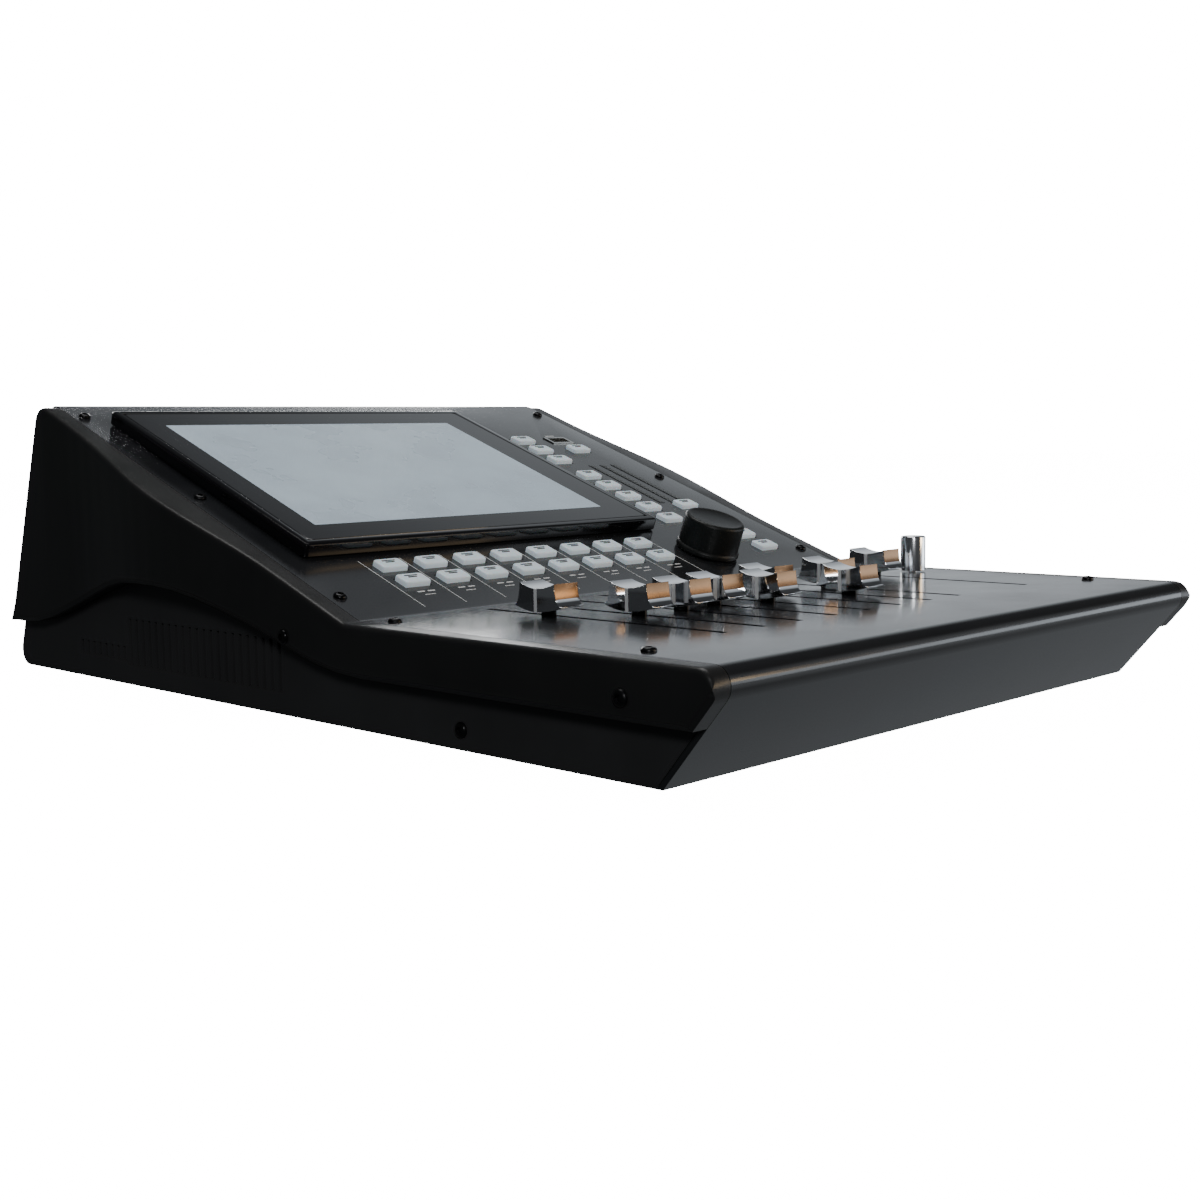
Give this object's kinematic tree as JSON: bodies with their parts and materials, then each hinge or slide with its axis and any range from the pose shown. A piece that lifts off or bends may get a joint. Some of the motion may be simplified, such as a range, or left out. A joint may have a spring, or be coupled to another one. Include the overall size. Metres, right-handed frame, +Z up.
{
  "type": "stage control desk",
  "caption": "Compact stage control desk with a level fader deck, sloping display panel, pale keys, encoder and moulded side cheeks.",
  "frame": {"origin": "centre of the bounding box on the plane the feet rest on", "axes": "+X to the operator's right, +Y from the operator towards the rear, +Z up"},
  "size_m": [0.3306, 0.4584, 0.1292],
  "materials": {
    "panel_paint": "semi-gloss dark grey",
    "tray_paint": "satin black",
    "cheek_plastic": "fine-textured black",
    "bezel_gloss": "gloss black",
    "screen_glass": "anti-glare",
    "module_steel": "plated sheet",
    "key_plastic": "pale translucent",
    "cap_chrome": "polished plating",
    "knob_plastic": "satin black",
    "meter_smoke": "smoked",
    "port_steel": "plated",
    "circuit_board": "solder mask",
    "socket_plastic": "moulded black",
    "foot_rubber": "matte"
  },
  "bodies": {
    "desk": {"top_panel": "panel_paint", "chassis_tray": "tray_paint", "rear_panel": "tray_paint", "left_cheek": "cheek_plastic", "right_cheek": "cheek_plastic", "front_foot": "foot_rubber", "rear_foot": "foot_rubber", "display_bezel": "bezel_gloss", "display_glass": "screen_glass", "display_module": "module_steel", "meter_window": "meter_smoke", "data_port": "port_steel", "key_board": "circuit_board", "fader_bank": "circuit_board", "main_board": "circuit_board", "power_supply": "module_steel", "output_socket_1": "socket_plastic", "output_socket_2": "socket_plastic", "network_socket": "port_steel", "mains_inlet": "socket_plastic"},
    "lower_key_1": {"lower_key_1": "key_plastic"},
    "upper_key_1": {"upper_key_1": "key_plastic"},
    "lower_key_2": {"lower_key_2": "key_plastic"},
    "upper_key_2": {"upper_key_2": "key_plastic"},
    "lower_key_3": {"lower_key_3": "key_plastic"},
    "upper_key_3": {"upper_key_3": "key_plastic"},
    "lower_key_4": {"lower_key_4": "key_plastic"},
    "upper_key_4": {"upper_key_4": "key_plastic"},
    "lower_key_5": {"lower_key_5": "key_plastic"},
    "upper_key_5": {"upper_key_5": "key_plastic"},
    "lower_key_6": {"lower_key_6": "key_plastic"},
    "upper_key_6": {"upper_key_6": "key_plastic"},
    "lower_key_7": {"lower_key_7": "key_plastic"},
    "upper_key_7": {"upper_key_7": "key_plastic"},
    "lower_key_8": {"lower_key_8": "key_plastic"},
    "upper_key_8": {"upper_key_8": "key_plastic"},
    "side_key_1": {"side_key_1": "key_plastic"},
    "side_key_2": {"side_key_2": "key_plastic"},
    "side_key_3": {"side_key_3": "key_plastic"},
    "side_key_4": {"side_key_4": "key_plastic"},
    "side_key_5": {"side_key_5": "key_plastic"},
    "side_key_6": {"side_key_6": "key_plastic"},
    "side_key_7": {"side_key_7": "key_plastic"},
    "side_key_8": {"side_key_8": "key_plastic"},
    "aux_key_1": {"aux_key_1": "key_plastic"},
    "aux_key_2": {"aux_key_2": "key_plastic"},
    "main_key_lower": {"main_key_lower": "key_plastic"},
    "main_key_upper": {"main_key_upper": "key_plastic"},
    "fader_cap_1": {"fader_cap_1": "cap_chrome"},
    "fader_cap_2": {"fader_cap_2": "cap_chrome"},
    "fader_cap_3": {"fader_cap_3": "cap_chrome"},
    "fader_cap_4": {"fader_cap_4": "cap_chrome"},
    "fader_cap_5": {"fader_cap_5": "cap_chrome"},
    "fader_cap_6": {"fader_cap_6": "cap_chrome"},
    "fader_cap_7": {"fader_cap_7": "cap_chrome"},
    "fader_cap_8": {"fader_cap_8": "cap_chrome"},
    "main_fader_cap": {"main_fader_cap": "cap_chrome"},
    "encoder_knob": {"encoder_knob": "knob_plastic"},
    "level_knob": {"level_knob": "cap_chrome"},
    "power_rocker": {"power_rocker": "socket_plastic"}
  },
  "joints": [
    {"name": "lower_key_1_press", "type": "slide", "parent": "desk", "child": "lower_key_1", "axis": [0, 0.3469, -0.9379], "range_m": [0, 0.0015], "stiffness_N_per_m": 400, "springref_m": -0.0015},
    {"name": "upper_key_1_press", "type": "slide", "parent": "desk", "child": "upper_key_1", "axis": [0, 0.3469, -0.9379], "range_m": [0, 0.0015], "stiffness_N_per_m": 400, "springref_m": -0.0015},
    {"name": "lower_key_2_press", "type": "slide", "parent": "desk", "child": "lower_key_2", "axis": [0, 0.3469, -0.9379], "range_m": [0, 0.0015], "stiffness_N_per_m": 400, "springref_m": -0.0015},
    {"name": "upper_key_2_press", "type": "slide", "parent": "desk", "child": "upper_key_2", "axis": [0, 0.3469, -0.9379], "range_m": [0, 0.0015], "stiffness_N_per_m": 400, "springref_m": -0.0015},
    {"name": "lower_key_3_press", "type": "slide", "parent": "desk", "child": "lower_key_3", "axis": [0, 0.3469, -0.9379], "range_m": [0, 0.0015], "stiffness_N_per_m": 400, "springref_m": -0.0015},
    {"name": "upper_key_3_press", "type": "slide", "parent": "desk", "child": "upper_key_3", "axis": [0, 0.3469, -0.9379], "range_m": [0, 0.0015], "stiffness_N_per_m": 400, "springref_m": -0.0015},
    {"name": "lower_key_4_press", "type": "slide", "parent": "desk", "child": "lower_key_4", "axis": [0, 0.3469, -0.9379], "range_m": [0, 0.0015], "stiffness_N_per_m": 400, "springref_m": -0.0015},
    {"name": "upper_key_4_press", "type": "slide", "parent": "desk", "child": "upper_key_4", "axis": [0, 0.3469, -0.9379], "range_m": [0, 0.0015], "stiffness_N_per_m": 400, "springref_m": -0.0015},
    {"name": "lower_key_5_press", "type": "slide", "parent": "desk", "child": "lower_key_5", "axis": [0, 0.3469, -0.9379], "range_m": [0, 0.0015], "stiffness_N_per_m": 400, "springref_m": -0.0015},
    {"name": "upper_key_5_press", "type": "slide", "parent": "desk", "child": "upper_key_5", "axis": [0, 0.3469, -0.9379], "range_m": [0, 0.0015], "stiffness_N_per_m": 400, "springref_m": -0.0015},
    {"name": "lower_key_6_press", "type": "slide", "parent": "desk", "child": "lower_key_6", "axis": [0, 0.3469, -0.9379], "range_m": [0, 0.0015], "stiffness_N_per_m": 400, "springref_m": -0.0015},
    {"name": "upper_key_6_press", "type": "slide", "parent": "desk", "child": "upper_key_6", "axis": [0, 0.3469, -0.9379], "range_m": [0, 0.0015], "stiffness_N_per_m": 400, "springref_m": -0.0015},
    {"name": "lower_key_7_press", "type": "slide", "parent": "desk", "child": "lower_key_7", "axis": [0, 0.3469, -0.9379], "range_m": [0, 0.0015], "stiffness_N_per_m": 400, "springref_m": -0.0015},
    {"name": "upper_key_7_press", "type": "slide", "parent": "desk", "child": "upper_key_7", "axis": [0, 0.3469, -0.9379], "range_m": [0, 0.0015], "stiffness_N_per_m": 400, "springref_m": -0.0015},
    {"name": "lower_key_8_press", "type": "slide", "parent": "desk", "child": "lower_key_8", "axis": [0, 0.3469, -0.9379], "range_m": [0, 0.0015], "stiffness_N_per_m": 400, "springref_m": -0.0015},
    {"name": "upper_key_8_press", "type": "slide", "parent": "desk", "child": "upper_key_8", "axis": [0, 0.3469, -0.9379], "range_m": [0, 0.0015], "stiffness_N_per_m": 400, "springref_m": -0.0015},
    {"name": "side_key_1_press", "type": "slide", "parent": "desk", "child": "side_key_1", "axis": [0, 0.3469, -0.9379], "range_m": [0, 0.0015], "stiffness_N_per_m": 400, "springref_m": -0.0015},
    {"name": "side_key_2_press", "type": "slide", "parent": "desk", "child": "side_key_2", "axis": [0, 0.3469, -0.9379], "range_m": [0, 0.0015], "stiffness_N_per_m": 400, "springref_m": -0.0015},
    {"name": "side_key_3_press", "type": "slide", "parent": "desk", "child": "side_key_3", "axis": [0, 0.3469, -0.9379], "range_m": [0, 0.0015], "stiffness_N_per_m": 400, "springref_m": -0.0015},
    {"name": "side_key_4_press", "type": "slide", "parent": "desk", "child": "side_key_4", "axis": [0, 0.3469, -0.9379], "range_m": [0, 0.0015], "stiffness_N_per_m": 400, "springref_m": -0.0015},
    {"name": "side_key_5_press", "type": "slide", "parent": "desk", "child": "side_key_5", "axis": [0, 0.3469, -0.9379], "range_m": [0, 0.0015], "stiffness_N_per_m": 400, "springref_m": -0.0015},
    {"name": "side_key_6_press", "type": "slide", "parent": "desk", "child": "side_key_6", "axis": [0, 0.3469, -0.9379], "range_m": [0, 0.0015], "stiffness_N_per_m": 400, "springref_m": -0.0015},
    {"name": "side_key_7_press", "type": "slide", "parent": "desk", "child": "side_key_7", "axis": [0, 0.3469, -0.9379], "range_m": [0, 0.0015], "stiffness_N_per_m": 400, "springref_m": -0.0015},
    {"name": "side_key_8_press", "type": "slide", "parent": "desk", "child": "side_key_8", "axis": [0, 0.3469, -0.9379], "range_m": [0, 0.0015], "stiffness_N_per_m": 400, "springref_m": -0.0015},
    {"name": "aux_key_1_press", "type": "slide", "parent": "desk", "child": "aux_key_1", "axis": [0, 0.3469, -0.9379], "range_m": [0, 0.0015], "stiffness_N_per_m": 400, "springref_m": -0.0015},
    {"name": "aux_key_2_press", "type": "slide", "parent": "desk", "child": "aux_key_2", "axis": [0, 0.3469, -0.9379], "range_m": [0, 0.0015], "stiffness_N_per_m": 400, "springref_m": -0.0015},
    {"name": "main_key_lower_press", "type": "slide", "parent": "desk", "child": "main_key_lower", "axis": [0, 0.3469, -0.9379], "range_m": [0, 0.0015], "stiffness_N_per_m": 400, "springref_m": -0.0015},
    {"name": "main_key_upper_press", "type": "slide", "parent": "desk", "child": "main_key_upper", "axis": [0, 0.3469, -0.9379], "range_m": [0, 0.0015], "stiffness_N_per_m": 400, "springref_m": -0.0015},
    {"name": "fader_cap_1_slide", "type": "slide", "parent": "desk", "child": "fader_cap_1", "axis": [0, 1, 0], "range_m": [-0.076, 0.024]},
    {"name": "fader_cap_2_slide", "type": "slide", "parent": "desk", "child": "fader_cap_2", "axis": [0, 1, 0], "range_m": [-0.049, 0.051]},
    {"name": "fader_cap_3_slide", "type": "slide", "parent": "desk", "child": "fader_cap_3", "axis": [0, 1, 0], "range_m": [-0.0465, 0.0535]},
    {"name": "fader_cap_4_slide", "type": "slide", "parent": "desk", "child": "fader_cap_4", "axis": [0, 1, 0], "range_m": [-0.048, 0.052]},
    {"name": "fader_cap_5_slide", "type": "slide", "parent": "desk", "child": "fader_cap_5", "axis": [0, 1, 0], "range_m": [-0.038, 0.062]},
    {"name": "fader_cap_6_slide", "type": "slide", "parent": "desk", "child": "fader_cap_6", "axis": [0, 1, 0], "range_m": [-0.0555, 0.0445]},
    {"name": "fader_cap_7_slide", "type": "slide", "parent": "desk", "child": "fader_cap_7", "axis": [0, 1, 0], "range_m": [-0.0285, 0.0715]},
    {"name": "fader_cap_8_slide", "type": "slide", "parent": "desk", "child": "fader_cap_8", "axis": [0, 1, 0], "range_m": [-0.0545, 0.0455]},
    {"name": "main_fader_cap_slide", "type": "slide", "parent": "desk", "child": "main_fader_cap", "axis": [0, 1, 0], "range_m": [-0.0675, 0.0325]},
    {"name": "encoder_turn", "type": "hinge", "parent": "desk", "child": "encoder_knob", "pos_m": [0.0778, -0.02457, 0.05406], "axis": [0, -0.3469, 0.9379], "continuous": true},
    {"name": "level_turn", "type": "hinge", "parent": "desk", "child": "level_knob", "pos_m": [0.134, -0.10527, 0.044], "axis": [0, 0, 1], "range_deg": [-150, 150]},
    {"name": "rocker_tip", "type": "hinge", "parent": "desk", "child": "power_rocker", "pos_m": [0.08, 0.20974, 0.06397], "axis": [1, 0, 0], "range_deg": [0, 12]}
  ]
}
